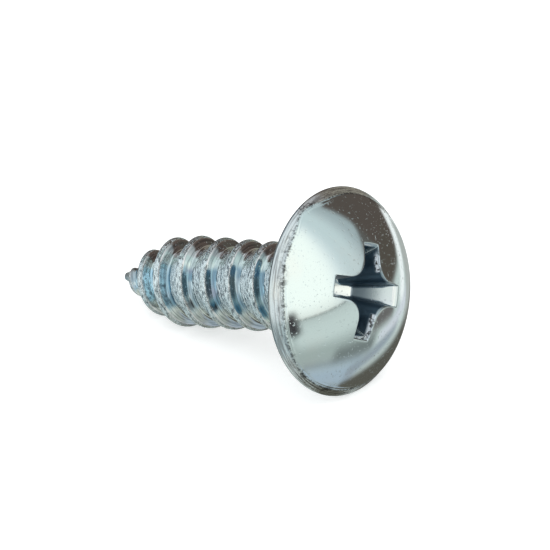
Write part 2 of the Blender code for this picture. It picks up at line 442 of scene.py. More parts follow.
        floor = floor_edge + (middle - floor_edge) * shares(recess.floor_rows)[1:, None, None]
        points = np.concatenate([outside, dome, lip, wall, foot_round, floor])
        lip_start = len(outside) + len(dome)
        floor_start = len(points) - len(floor) - (self.round_rows // 2)
        return SurfaceRows(points, self.facts(points, angles, lip_start, lip_start + len(lip), floor_start))

    def facts(
        self, points: Array, angles: Array, lip_start: int, wall_start: int, floor_start: int
    ) -> dict[str, Array]:
        """What the plating needs to know on the head.

        Args:
            points: the head's rows of points.
            angles: angle of each column.
            lip_start: row that the rounding into the recess starts with.
            wall_start: row that the recess's wall starts with.
            floor_start: row that its floor starts with.

        Returns:
            Shares named crease, smear, rim and the painted shade along the lower edge outside the recess,
            and recess, wing_end and torn in it.
        """
        radius, height = np.linalg.norm(points[..., :2], axis=-1), points[..., 2]
        row = np.arange(len(points))[:, None]
        is_outside = row < lip_start
        inside = np.where(is_outside, 0.0, np.where(row < wall_start, self.lip_share, 1.0))
        upper = np.clip(height / self.mark_height, 0, 1) * is_outside
        crease = self.crease_radius(angles)
        # Painted shade darkens the rim's lower rounding, near the bearing face.
        foot = smooth_step((self.foot_height - height) / self.foot_blend) * is_outside
        at_rim = smooth_step((radius - self.diameter / 2 + self.rim_round) / self.foot_inset_blend)
        depth = self.dome_height(np.minimum(radius, self.diameter / 2)) - height
        # Deeper down, the wing ends fade into the walls' painted shade.
        shade = 1 - self.end_shade * smooth_step((depth - self.end_shade_start) / self.end_shade_reach)
        near_top = smooth_step((self.recess.torn_depth - depth) / self.torn_blend)
        return {
            "crease": fade(radius, crease + self.dots_out, self.dots_width) * upper,
            "smear": fade(radius, crease + self.smear_out, self.smear_width) * upper,
            "rim": smooth_step((radius - crease) / self.rim_blend) * upper,
            "lower_edge_painted_shade": foot * at_rim,
            "recess": inside,
            "wing_end": np.maximum(inside * self.recess.is_end() * shade, row >= floor_start),
            "torn": inside * self.recess.is_torn() * near_top,
        }


@dataclass
class ThreadedShank:
    """A right-hand spaced thread on a cylindrical root, run out under the head and closed into a point."""

    length: float = 12.47 * MM
    neck_diameter: float = 3.45 * MM
    neck_length: float = 0.55 * MM
    run_out: float = 1.1 * MM
    pitch: float = 1.411 * MM
    crest_diameter: float = 4.13 * MM
    back_taper: float = 0.17 * MM
    root_diameter: float = 3.22 * MM
    crown_back: float = 0.05 * MM
    crown_front: float = 0.20 * MM
    crown_drop: float = 0.24
    edge_wear: float = 0.004
    lap_height: float = 0.035
    lap_width: float = 0.07 * MM
    front_reach: float = 0.27 * MM
    front_straight: float = 0.5
    front_spacing: float = 1.1
    back_reach: float = 0.44 * MM
    back_power: float = 1.9
    turn: float = math.radians(257)
    tip_radius: float = 0.18 * MM
    tip_nose: float = 0.06 * MM
    bare_tip: float = 0.25 * MM
    bare_tip_fade: float = 0.5 * MM
    point_half_angle: float = math.radians(19)
    crest_taper_length: float = 3.82 * MM
    crest_taper_power: float = 1.64
    crown_knots: int = 7
    flank_knots: int = 7
    root_knots: int = 6
    # Where the silver grain, the painted light-blue highlight and the cone's painted shade lie: from the tip,
    # or up the shank's side.
    plain_grain: float = 0.45
    tip_grain: float = 0.4
    grain_top: float = 0.93
    grain_top_fade: float = 0.10
    grain_foot: float = 0.20
    grain_foot_fade: float = 0.25
    highlight_end: float = 4.4 * MM
    highlight_end_fade: float = 1.6 * MM
    highlight_start: float = 0.9 * MM
    highlight_start_fade: float = 0.5 * MM
    cone_end: float = 1.0 * MM
    cone_fade: float = 0.3 * MM

    def knots(self) -> dict[str, Array]:
        """One pitch of the thread's profile, from the middle of the root behind a crest to the next.

        The crown falls from its back edge by a parabola and ends in a thin lap. The front flank is straight
        and then runs into the root as a fillet; the back flank falls as (1 - t)^power over its reach. The
        silver grain covers the back flank and the crown, and comes back over the first half of the root.

        Returns:
            along (distance along the axis from the crest), share (of the depth), and the masks silver and
            lap, each (knots,).
        """
        t = shares(self.flank_knots)[1:]
        back = -self.crown_back - self.back_reach * (1 - t)
        climb = t**self.back_power * (1 - self.edge_wear)
        s = shares(self.crown_knots)[1:]
        lap_start = self.crown_front - self.lap_width
        crown = -self.crown_back + (lap_start + self.crown_back) * s
        edge = 1 - self.crown_drop
        lap = lap_start + self.lap_width * np.array([0.3, 0.6, 0.9, 1.0])
        lap_share = edge + self.lap_height * np.array([0.75, 1.0, 0.7, 0.0])
        down = t**self.front_spacing
        front = self.crown_front + self.front_reach * down
        root_start = self.crown_front + self.front_reach
        root_end = self.pitch - self.crown_back - self.back_reach
        onward = shares(self.root_knots + 1)[1:]
        root = root_start + (root_end - root_start) * onward
        share = [climb, 1 - self.crown_drop * s**2, lap_share, edge * self.flank_fall(down), 0 * root]
        silver = [1 + 0 * back, 1 + 0 * crown, 0.5 + 0 * lap, 0 * front, smooth_step(2 * onward)]
        return {
            "along": np.concatenate([back, crown, lap, front, root]),
            "share": np.concatenate(share),
            "silver": np.concatenate(silver),
            "lap": np.repeat([0.0, 0.0, 1.0, 0.0, 0.0], [len(part) for part in share]),
        }

    def flank_fall(self, t: Array) -> Array:
        """Height left on the front flank: 1 - m t, then m (1 - t)^2 / (2 (1 - s)) past the straight share s.

        Args:
            t: how far down the flank, from 0 to 1.

        Returns:
            The height left, with m = 2 / (1 + s) so that it ends level at nothing.
        """
        straight = self.front_straight
        slope = 2.0 / (1.0 + straight)
        return np.where(t < straight, 1 - slope * t, slope * (1 - t) ** 2 / (2 * (1 - straight)))

    def radius(self, height: Array, share: Array) -> Array:
        """Distance from the axis between the root at share 0 and the crest at share 1.

        Args:
            height: height along the axis, negative below the bearing face.
            share: share of the thread's depth.

        Returns:
            The root's cone and cylinder, plus the share of the crest's envelope above it, faded into the
            neck under the head.
        """
        from_tip = height + self.length - self.tip_nose
        cone = self.tip_radius + from_tip * math.tan(self.point_half_angle)
        root = np.minimum(self.root_diameter / 2, cone)
        along = np.clip((from_tip - self.crest_taper_length) / (self.length - self.crest_taper_length), 0, 1)
        full = (self.crest_diameter - self.back_taper * along) / 2
        closing = np.clip(1 - from_tip / self.crest_taper_length, 0, 1) ** self.crest_taper_power
        crest = np.maximum(root, self.tip_radius + (full - self.tip_radius) * (1 - closing))
        formed = smooth_step((from_tip - self.bare_tip) / self.bare_tip_fade)
        threaded = root + (crest - root) * share * formed
        neck = self.neck_diameter / 2
        return neck + (threaded - neck) * self.run_in(height)

    def run_in(self, height: Array) -> Array:
        """How much of the thread has run in below the neck, from 0 to 1."""
        return smooth_step((-self.neck_length - height) / self.run_out)

    def rows(self, angles: Array) -> SurfaceRows:
        """The thread's rows, each of which climbs by a pitch in a turn, gathered on a ring at either end.

        Args:
            angles: angle of each column, rising by a full turn.

        Returns:
            The rows and their facts. Row r of the column past the last one is row r + knots of the first.
        """
        knots = self.knots()
        low = -self.length + self.tip_nose
        # Two turns are spare at either end, so that every column reaches both rings.
        turns = math.ceil((-self.neck_length - low) / self.pitch) + 4
        ladder = (low + self.pitch * (np.arange(turns)[:, None] - 2) + knots["along"]).ravel()
        climb = self.pitch * (angles + self.turn) / FULL_TURN
        height = np.clip(ladder[:, None] + climb, low, -self.neck_length)
        radius = self.radius(height, np.tile(knots["share"], turns)[:, None])
        silver, lap = (np.tile(knots[name], turns)[:, None] for name in ("silver", "lap"))
        return SurfaceRows(turned(radius, height, angles), self.facts(angles, height, silver, lap))

    def facts(self, angles: Array, height: Array, silver: Array, lap: Array) -> dict[str, Array]:
        """What the plating needs to know on the shank.

        Args:
            angles: angle of each column.
            height: height of each point.
            silver: the profile's share of silver grain in each row.
            lap: the profile's lap in each row.

        Returns:
            Shares named shank, silver, lap, top (0 where the shank lies on the floor, 1 along its top),
            the share near the tip that carries the painted highlight, and cone, which also places painted
            shade on the cone's top.
        """
        top = 0.5 - 0.5 * np.cos(angles)
        to_tip = self.length + height
        # Where the painted light-blue highlight lies, from just behind the tip up the shank.
        light = smooth_step((self.highlight_end - to_tip) / self.highlight_end_fade)
        # The cone, whose top carries painted shade and whose grain is set on its own.
        cone = smooth_step((self.cone_end - to_tip) / self.cone_fade)
        grainy = smooth_step((self.grain_top - top) / self.grain_top_fade)
        grainy = grainy * smooth_step((top - self.grain_foot) / self.grain_foot_fade)
        silver = silver * self.run_in(height) * (self.plain_grain + (1 - self.plain_grain) * grainy)
        return {
            "shank": np.array(1.0),
            "silver": silver + (self.tip_grain - silver) * cone,
            "lap": lap * self.run_in(height),
            "top": top,
            "near_tip_highlight": light * smooth_step((to_tip - self.highlight_start) / self.highlight_start_fade),
            "cone": cone,
        }


@dataclass
class FineScrew:
    """The screw's whole surface in one closed mesh, from the tip to the middle of the recess."""

    shank: ThreadedShank = field(default_factory=ThreadedShank)
    head: TrussHead = field(default_factory=TrussHead)
    weld: float = 2e-5 * MM

    def seat(self) -> Array:
        """Where the screw lies, read off the bearing face's mount so that the fine surface sits on the CAD's.

        Returns:
            The 4x4 matrix from the screw's own frame to the row frame: its columns are the screw's own
            directions and the middle of its bearing face, from which the mount lies half across the face.
        """
        mount = next(m for m in frame["record"]["mounts"] if m["name"] == "under_head")
        axis = -np.array(mount["axis"], float)
        axis /= np.linalg.norm(axis)
        upward = np.array([0.0, 0.0, 1.0]) - axis * axis[2]
        upward /= np.linalg.norm(upward)
        inner = self.shank.neck_diameter / 2 + self.head.neck_fillet
        outer = self.head.diameter / 2 - self.head.rim_round
        placed = np.eye(4)
        placed[:3, 0] = -upward
        placed[:3, 1] = np.cross(axis, -upward)
        placed[:3, 2] = axis
        placed[:3, 3] = np.array(mount["pos_m"]) - upward * (inner + outer) / 2
        return placed

    def faces(self, helical: int, total: int, columns: int, shift: int) -> Array:
        """Corner numbers of the quads between neighbouring rows and columns.

        Args:
            helical: how many rows belong to the thread, which climbs by shift rows at the seam.
            total: how many rows there are.
            columns: how many columns there are.
            shift: rows in one pitch.

        Returns:
            (quads, 4) indices, row by row, wound so that they face outwards.
        """
        row, column = np.meshgrid(np.arange(total - 1), np.arange(columns), indexing="ij")
        beside = (column + 1) % columns
        # The step over the seam climbs a pitch, and the thread's last ring takes every row past its end.
        last = helical - 1
        wrapped = (beside == 0) & (row < last)
        right = np.where(wrapped, np.minimum(row + shift, last), row)
        right_above = np.where(wrapped, np.minimum(row + 1 + shift, last), row + 1)
        first, above = row * columns + column, (row + 1) * columns + column
        corners = [first, right * columns + beside, right_above * columns + beside, above]
        return np.stack(corners, -1).reshape(-1, 4)

    def build(self) -> bpy.types.Object:
        """Makes the mesh, its maps and its facts, and lays it in the row frame.

        Returns:
            The screw's object, at the origin.
        """
        angles = self.head.column_angles()
        thread = self.shank.rows(angles)
        head = self.head.rows(self.shank.neck_diameter / 2)
        points = np.concatenate([thread.points, head.points])
        columns = len(angles)
        faces = self.faces(len(thread.points), len(points), columns, len(self.shank.knots()["along"]))
        flat = np.concatenate([points.reshape(-1, 3), [[0.0, 0.0, -self.shank.length]]])
        column = np.arange(columns)
        tip_fan = np.stack([np.full(columns, len(flat) - 1), (column + 1) % columns, column], -1)
        seat = self.seat()
        placed = flat @ seat[:3, :3].T + seat[:3, 3]
        data = bpy.data.meshes.new("screw_surface")
        data.from_pydata(placed, [], faces.tolist() + tip_fan.tolist())
        for name in (*thread.facts, *head.facts):
            values = np.concatenate([thread.fact(name).ravel(), head.fact(name).ravel(), [0.0]])
            layer = data.attributes.new(name, "FLOAT", "POINT")
            layer.data.foreach_set("value", values.astype(np.float32))
        self.add_maps(data, faces, flat, angles)
        self.merge(data)
        data.shade_smooth()
        return add_object("screw_surface", data)

    def add_maps(self, data: bpy.types.Mesh, faces: Array, flat: Array, angles: Array) -> None:
        """Gives the mesh two maps that unroll the screw, in millimetres round it and along it.

        In the map named wrap the second measure runs along beside the thread, and in the one named turned it
        is the plain height.

        Args:
            data: the mesh, unmerged.
            faces: its quads.
            flat: its points in the screw's own frame.
            angles: angle of each column.
        """
        column = faces % len(angles)
        past_seam = (column == 0) & np.array([False, True, True, False])
        angle = angles[column] + FULL_TURN * past_seam
        around = angle * self.shank.root_diameter / 2
        height = flat[faces, 2]
        beside = height - self.shank.pitch * angle / FULL_TURN
        for laid_on, along in ((Map.WRAP, beside), (Map.TURNED, height)):
            corners = np.zeros((len(data.loops), 2), np.float32)
            corners[: faces.size] = np.stack([around, along], -1).reshape(-1, 2) / MM
            data.uv_layers.new(name=laid_on.value).data.foreach_set("uv", corners.ravel())

    def merge(self, data: bpy.types.Mesh) -> None:
        """Closes the ends: points that the thread's ends and the pole gather in one place become one.

        Args:
            data: the mesh, which is changed.
        """
        mesh = bmesh.new()
        mesh.from_mesh(data)
        bmesh.ops.remove_doubles(mesh, verts=mesh.verts, dist=self.weld)
        bmesh.ops.dissolve_degenerate(mesh, edges=mesh.edges, dist=self.weld / 2)
        bmesh.ops.recalc_face_normals(mesh, faces=mesh.faces)
        mesh.to_mesh(data)
        mesh.free()


class Map(enum.Enum):
    """Where a speckle is laid: on the object itself, or on a map that unrolls the screw."""

    OBJECT = "object"
    WRAP = "wrap"
    TURNED = "turned"


class Noise(enum.Enum):
    """Kinds of noise: cloudy, or highest along thin winding lines."""

    CLOUDY = "FBM"
    RIDGED = "RIDGED_MULTIFRACTAL"


@dataclass(frozen=True)
class Speckle:
    """A noise, with the levels between which its patches set in.

    It has so many waves to a metre on the object, or to a millimetre round and along a map, and finer layers
    whose strength falls by a share from each to the next. The end level may be below the start level. Most is
    how far the patches cover the colour that they lie on.
    """

    waves: float
    layers: float
    share: float
    start: float = 0.0
    end: float = 1.0
    laid_on: Map = Map.OBJECT
    stretch: tuple[float, float] = (1.0, 1.0)
    kind: Noise = Noise.CLOUDY
    most: float = 1.0


@dataclass(frozen=True)
class Relief:
    """How far a height of 1 stands out, in metres, and how strongly it bends the light."""

    strength: float
    height: float


class NodeMaker:
    """Short calls for the shader nodes that the finishes are made of."""

    def __init__(self, tree: bpy.types.NodeTree) -> None:
        """Keeps the node tree that the calls add to."""
        self.tree = tree

    def node(self, kind: str, **settings: object) -> bpy.types.Node:
        """Adds a node of a kind, with its settings.

        Args:
            kind: the node's type.
            **settings: values of the node's own properties.

        Returns:
            The node.
        """
        made = self.tree.nodes.new(kind)
        for name, value in settings.items():
            setattr(made, name, value)
        return made

    def feed(self, socket: NodeSocket, value: object) -> None:
        """Links a socket into another, or sets its value.

        Args:
            socket: the input.
            value: an output, a number or a colour.
        """
        if isinstance(value, NodeSocket):
            self.tree.links.new(value, socket)
        elif isinstance(value, tuple) and socket.type == "RGBA":
            socket.default_value = (*value, 1.0)
        else:
            socket.default_value = value

    def fact(self, name: str) -> NodeSocket:
        """A number kept on the mesh's points."""
        return self.node("ShaderNodeAttribute", attribute_name=name).outputs["Fac"]

    def place(self, speckle: Speckle) -> NodeSocket:
        """The place that a speckle is laid by.

        Args:
            speckle: the speckle.

        Returns:
            The object's own place in metres, or the stretched place on a map.
        """
        if speckle.laid_on is Map.OBJECT:
            return self.node("ShaderNodeTexCoord").outputs["Object"]
        unrolled = self.node("ShaderNodeUVMap", uv_map=speckle.laid_on.value)
        made = self.node("ShaderNodeMapping")
        self.feed(made.inputs["Scale"], (*speckle.stretch, 1.0))
        self.feed(made.inputs["Vector"], unrolled.outputs["UV"])
        return made.outputs["Vector"]

    def noise(self, speckle: Speckle) -> NodeSocket:
        """A speckle's bare noise, between 0 and 1.

        Args:
            speckle: the speckle.

        Returns:
            The noise.
        """
        made = self.node("ShaderNodeTexNoise", noise_type=speckle.kind.value)
        self.feed(made.inputs["Vector"], self.place(speckle))
        self.feed(made.inputs["Scale"], speckle.waves)
        self.feed(made.inputs["Detail"], speckle.layers)
        self.feed(made.inputs["Roughness"], speckle.share)
        return made.outputs["Fac"]

    def patches(self, speckle: Speckle) -> NodeSocket:
        """A speckle's patches, 0 outside and 1 inside."""
        return self.rise(self.noise(speckle), speckle.start, speckle.end)

    def rise(self, value: NodeSocket, start: float, end: float) -> NodeSocket:
        """A smooth rise from 0 at start to 1 at end.

        Args:
            value: the measure.
            start: where it is 0.
            end: where it is 1, which may be below start.

        Returns:
            The share.
        """
        made = self.node("ShaderNodeMapRange", interpolation_type="SMOOTHSTEP")
        self.feed(made.inputs["Value"], value)
        self.feed(made.inputs["From Min"], min(start, end))
        self.feed(made.inputs["From Max"], max(start, end))
        self.feed(made.inputs["To Min"], float(end < start))
        self.feed(made.inputs["To Max"], float(end > start))
        return made.outputs["Result"]

    def maths(self, operation: str, *values: object) -> NodeSocket:
        """One sum on numbers or sockets.

        Args:
            operation: the sum's name.
            *values: its numbers or sockets.

        Returns:
            The result.
        """
        made = self.node("ShaderNodeMath", operation=operation)
        for index, value in enumerate(values):
            self.feed(made.inputs[index], value)
        return made.outputs["Value"]

    def times(self, first: NodeSocket, second: object) -> NodeSocket:
        """The product of two numbers."""
        return self.maths("MULTIPLY", first, second)

    def plus(self, first: NodeSocket, second: object) -> NodeSocket:
        """The sum of two numbers."""
        return self.maths("ADD", first, second)

    def swing(self, noise: NodeSocket, reach: float) -> NodeSocket:
        """A noise moved so that its middle is zero, and made larger or smaller."""
        return self.times(self.maths("SUBTRACT", noise, 0.5), reach)

    def between(self, share: NodeSocket, first: float, second: float) -> NodeSocket:
        """The number that lies a share of the way from the first to the second."""
        return self.maths("MULTIPLY_ADD", share, second - first, first)

    def mix(self, share: NodeSocket, first: object, second: object, most: float = 1.0) -> NodeSocket:
        """A colour between two colours.

        Args:
            share: how far towards the second.
            first: a colour or a socket.
            second: a colour or a socket.
            most: how far it goes at a share of 1.

        Returns:
            The colour.
        """
        made = self.node("ShaderNodeMix", data_type="RGBA")
        first_colour, second_colour = (socket for socket in made.inputs if socket.type == "RGBA")
        self.feed(made.inputs["Factor"], share if most == 1.0 else self.times(share, most))
        self.feed(first_colour, first)
        self.feed(second_colour, second)
        return next(socket for socket in made.outputs if socket.type == "RGBA")

    def speckled(
        self, under: object, over: object, speckle: Speckle, where: NodeSocket | None = None
    ) -> NodeSocket:
        """A colour with patches of another on it.

        Args:
            under: the colour or socket that shows between the patches.
            over: the patches' colour or socket.
            speckle: the patches.
            where: a share that they are kept to, or None for everywhere.

        Returns:
            The colour.
        """
        patches = self.patches(speckle)
        share = patches if where is None else self.times(where, patches)
        return self.mix(share, under, over, speckle.most)

    def bump(self, height: NodeSocket, relief: Relief, normal: NodeSocket | None = None) -> NodeSocket:
        """A surface made uneven by a height.

        Args:
            height: the height.
            relief: how far it stands out.
            normal: the surface that it is laid on, if that is uneven already.

        Returns:
            The new normal.
        """
        made = self.node("ShaderNodeBump")
        self.feed(made.inputs["Strength"], relief.strength)
        self.feed(made.inputs["Distance"], relief.height)
        self.feed(made.inputs["Height"], height)
        if normal is not None:
            self.feed(made.inputs["Normal"], normal)
        return made.outputs["Normal"]


def new_material(name: str) -> tuple[bpy.types.Material, NodeMaker]:
    """Starts a material.

    Args:
        name: the material's name.

    Returns:
        The material, and the maker of its nodes.
    """
    material = bpy.data.materials.new(name)
    material.use_nodes = True
    return material, NodeMaker(material.node_tree)


@dataclass(frozen=True)
class ZincPlating:
    """Bright zinc with a clear blue passivate: a mirror on the dome, scratched silver along the thread."""

    head_colour: Colour = (0.78, 0.85, 0.83)
    head_warm: Colour = (0.82, 0.82, 0.78)
    rim_colour: Colour = (0.79, 0.82, 0.80)
    # Dark grey of the rim's streaks, and painted shade over the cone's top.
    dark_streak_and_shade: Colour = (0.34, 0.34, 0.33)
    # Painted shade along the rim's lower edge.
    lower_edge_shade: Colour = (0.19, 0.20, 0.20)
    flank_plain: Colour = (0.48, 0.57, 0.60)
    flank_blue: Colour = (0.25, 0.39, 0.47)
    flank_violet: Colour = (0.36, 0.37, 0.44)
    # A painted light-blue highlight on the flanks near the tip.
    flank_painted_highlight: Colour = (0.60, 0.86, 0.98)
    # Painted reflections by side: grey-brown along the very top, pale green on the upper side and pale warm
    # grey on the lower side.
    top_side_reflection: Colour = (0.76, 0.75, 0.73)
    upper_side_reflection: Colour = (0.70, 0.80, 0.76)
    lower_side_reflection: Colour = (0.74, 0.76, 0.71)
    silver: Colour = (0.84, 0.91, 0.91)
    groove: Colour = (0.14, 0.17, 0.19)
    lap_colour: Colour = (0.90, 0.87, 0.84)
    # Painted shade on the recess's walls, with the passivate's blue tint.
    wall_painted_shade: Colour = (0.17, 0.25, 0.32)
    burr_colour: Colour = (0.84, 0.93, 0.99)
    end_colour: Colour = (0.86, 0.87, 0.83)
    crevice: Colour = (0.05, 0.05, 0.05)

    warm_patches: Speckle = Speckle(420.0, 3.0, 0.55, 0.45, 0.75, most=0.6)
    grain: Speckle = Speckle(1.0, 3.0, 0.65, 0.52, 0.37, Map.WRAP, (3.6, 13.0), most=0.85)
    squiggle: Speckle = Speckle(1.0, 2.0, 0.5, 0.62, 0.95, Map.WRAP, (1.6, 5.0), Noise.RIDGED)
    blue_patches: Speckle = Speckle(900.0, 2.0, 0.5, 0.44, 0.60)
    violet_patches: Speckle = Speckle(620.0, 2.0, 0.5, 0.55, 0.68, most=0.7)
    flank_streaks: Speckle = Speckle(1.0, 2.0, 0.6, 0.54, 0.40, Map.WRAP, (0.8, 20.0), most=0.5)
    rim_streaks: Speckle = Speckle(1.0, 3.0, 0.6, 0.56, 0.38, Map.TURNED, (1.6, 16.0), most=0.85)
    rim_ridges: Speckle = Speckle(1.0, 3.0, 0.65, 0.0, 1.0, Map.TURNED, (2.4, 14.0))
    burr: Speckle = Speckle(4600.0, 3.0, 0.7, 0.45, 0.50)
    blots: Speckle = Speckle(1500.0, 4.0, 0.75, 0.53, 0.62, most=0.8)
    dots: Speckle = Speckle(7000.0, 3.0, 0.7, 0.43, 0.56, most=0.85)
    skin: Speckle = Speckle(2600.0, 3.0, 0.6)
    fine_skin: Speckle = Speckle(7000.0, 2.0, 0.6)
    pits: Speckle = Speckle(9000.0, 2.0, 0.5, 0.645, 0.73)
    rough_line: Speckle = Speckle(9000.0, 3.0, 0.7)

    grain_swing: float = 1.1
    silver_levels: tuple[float, float] = (0.35, 0.6)
    side_swing: float = 0.16
    # Where the painted side reflections and the cone's painted shade set in, up the shank's side.
    lower_side_reflection_levels: tuple[float, float] = (0.36, 0.24)
    upper_side_reflection_levels: tuple[float, float] = (0.84, 0.92)
    top_side_reflection_levels: tuple[float, float] = (0.965, 0.985)
    cone_levels: tuple[float, float] = (0.55, 0.80)
    cone_shade_cover: float = 0.8
    # How far the painted shade along the rim's lower edge covers.
    lower_edge_shade_cover: float = 0.9

    mirror_rough: float = 0.09
    silver_rough: float = 0.22
    rim_rough: float = 0.05
    wall_rough: float = 0.34
    end_rough: float = -0.28
    patch_rough: float = 0.06

    skin_relief: Relief = Relief(0.10, 0.006 * MM)
    fine_skin_relief: Relief = Relief(0.14, 0.003 * MM)
    pit_relief: Relief = Relief(0.8, -0.006 * MM)
    rough_line_relief: Relief = Relief(1.0, 0.03 * MM)
    rim_relief: Relief = Relief(1.0, 0.022 * MM)
    grain_relief: Relief = Relief(1.0, 0.11 * MM)
    squiggle_cut: float = -0.5

    def make(self) -> bpy.types.Material:
        """Builds the material: a colour, a roughness and a relief, each other on the head and the shank.

        Returns:
            The material, which is metal but where a burr is torn up.
        """
        material, nodes = new_material("bright_zinc")
        inputs = nodes.tree.nodes["Principled BSDF"].inputs
        grain = nodes.noise(self.grain)
        worn = nodes.plus(nodes.fact("silver"), nodes.swing(grain, self.grain_swing))
        silver = nodes.times(nodes.rise(worn, *self.silver_levels), nodes.fact("shank"))
        nodes.feed(inputs["Metallic"], nodes.between(nodes.fact("torn"), 1.0, 0.0))
        nodes.feed(inputs["Base Color"], self.colour(nodes, silver))
        nodes.feed(inputs["Roughness"], self.roughness(nodes, silver))
        nodes.feed(inputs["Normal"], self.relief(nodes, grain, silver))
        return material

    def shank_colour(self, nodes: NodeMaker) -> NodeSocket:
        """Blue and slate patches on the flanks, a painted light-blue highlight near the tip, painted
        reflections in pale green and grey-brown on the upper side and in pale warm grey on the lower side,
        and painted shade on the cone's top.

        Args:
            nodes: the material's node maker.

        Returns:
            The colour.
        """
        flank = nodes.speckled(self.flank_blue, self.flank_plain, self.blue_patches)
        flank = nodes.speckled(flank, self.flank_violet, self.violet_patches)
        # Painted light-blue highlight near the tip.
        flank = nodes.mix(nodes.fact("near_tip_highlight"), flank, self.flank_painted_highlight)
        # Painted reflections by side: pale warm grey on the lower side, pale green and grey-brown on the
        # upper side.
        swing = nodes.swing(nodes.noise(self.violet_patches), self.side_swing)
        side = nodes.plus(nodes.fact("top"), swing)
        flank = nodes.mix(nodes.rise(side, *self.lower_side_reflection_levels), flank, self.lower_side_reflection)
        flank = nodes.mix(nodes.rise(side, *self.upper_side_reflection_levels), flank, self.upper_side_reflection)
        flank = nodes.mix(nodes.rise(side, *self.top_side_reflection_levels), flank, self.top_side_reflection)
        flank = nodes.speckled(flank, self.groove, self.flank_streaks)
        # Painted shade over the top of the cone.
        above = nodes.times(nodes.rise(nodes.fact("top"), *self.cone_levels), nodes.fact("cone"))
        return nodes.mix(above, flank, self.dark_streak_and_shade, self.cone_shade_cover)

    def colour(self, nodes: NodeMaker, silver: NodeSocket) -> NodeSocket:
        """The plating's tint, from the head over the shank to the recess and the marks along the crease, with
        painted shade on the lower edge and on the recess's walls.

        Args:
            nodes: the material's node maker.
            silver: where the thread's silver grain is.

        Returns:
            The colour.
        """
        head = nodes.speckled(self.head_colour, self.head_warm, self.warm_patches)
        rim = nodes.speckled(self.rim_colour, self.dark_streak_and_shade, self.rim_streaks)
        head = nodes.mix(nodes.fact("rim"), head, rim)
        # Painted shade along the rim's lower edge.
        head = nodes.mix(nodes.fact("lower_edge_painted_shade"), head, self.lower_edge_shade, self.lower_edge_shade_cover)
        colour = nodes.mix(nodes.fact("shank"), head, self.shank_colour(nodes))
        colour = nodes.mix(silver, colour, nodes.speckled(self.silver, self.groove, self.grain))
        colour = nodes.mix(nodes.fact("lap"), colour, self.lap_colour)
        # Painted shade on the recess's walls. The wing ends stay bright and fade into it with depth.
        inside = nodes.mix(nodes.fact("wing_end"), self.wall_painted_shade, self.end_colour)
        colour = nodes.mix(nodes.fact("recess"), colour, inside)
        burr = nodes.speckled(self.crevice, self.burr_colour, self.burr)
        colour = nodes.mix(nodes.fact("torn"), colour, burr)
        colour = nodes.speckled(colour, self.crevice, self.blots, nodes.fact("smear"))
        return nodes.speckled(colour, self.crevice, self.dots, nodes.fact("crease"))

    def roughness(self, nodes: NodeMaker, silver: NodeSocket) -> NodeSocket:
        """How blurred the plating mirrors: more in the silver grain, on the rim and on the recess's walls.

        Args:
            nodes: the material's node maker.
            silver: where the thread's silver grain is.

        Returns:
            The roughness.
        """
        rough = nodes.between(silver, self.mirror_rough, self.silver_rough)
        rough = nodes.plus(rough, nodes.times(nodes.fact("rim"), self.rim_rough))
        rough = nodes.plus(rough, nodes.times(nodes.fact("recess"), self.wall_rough))
        rough = nodes.plus(rough, nodes.times(nodes.fact("wing_end"), self.end_rough))
        return nodes.plus(rough, nodes.swing(nodes.noise(self.warm_patches), self.patch_rough))

    def relief(self, nodes: NodeMaker, grain: NodeSocket, silver: NodeSocket) -> NodeSocket:
        """The plating's relief: a faint skin, sparse pits, torn grain on the thread, a rough crease and rim.

        Args:
            nodes: the material's node maker.
            grain: streaks along the thread.
            silver: where the thread's silver grain is.

        Returns:
            The normal.
        """
        skin = nodes.bump(nodes.noise(self.skin), self.skin_relief)
        skin = nodes.bump(nodes.noise(self.fine_skin), self.fine_skin_relief, skin)
        skin = nodes.bump(nodes.patches(self.pits), self.pit_relief, skin)
        uneven = nodes.maths("MAXIMUM", nodes.fact("crease"), nodes.fact("torn"))
        skin = nodes.bump(nodes.times(nodes.noise(self.rough_line), uneven), self.rough_line_relief, skin)
        ridges = nodes.times(nodes.noise(self.rim_ridges), nodes.fact("rim"))
        skin = nodes.bump(ridges, self.rim_relief, skin)
        scored = nodes.plus(grain, nodes.times(nodes.patches(self.squiggle), self.squiggle_cut))
        return nodes.bump(nodes.times(scored, silver), self.grain_relief, skin)


@dataclass(frozen=True)
class Panel:
    """A soft-edged panel of the surround that only mirrors see.

    Its place is the direction from the screw in degrees: east is the angle from +X towards +Y, up the angle
    above the floor. A lean turns the panel about its own middle.
    """

    name: str
    east: float
    up: float
    half_width: float
    half_height: float
    soft: float
    colour: Colour
    lean: float = 0.0

    def cover(self, east: Array, up: Array) -> Array:
        """How far the panel covers each direction.

        Args:
            east: angles from +X towards +Y in degrees.
            up: angles above the floor in degrees.

        Returns:
            The product of two smooth falls, across and along the panel, from 1 inside to 0 outside.
        """
        aside = (east - self.east + 180.0) % 360.0 - 180.0
        above = up - self.up
        cos, sin = math.cos(math.radians(self.lean)), math.sin(math.radians(self.lean))
        across = np.abs(aside * cos + above * sin)
        along = np.abs(above * cos - aside * sin)
        wide = smooth_step((self.half_width - across) / self.soft + 0.5)
        return wide * smooth_step((self.half_height - along) / self.soft + 0.5)


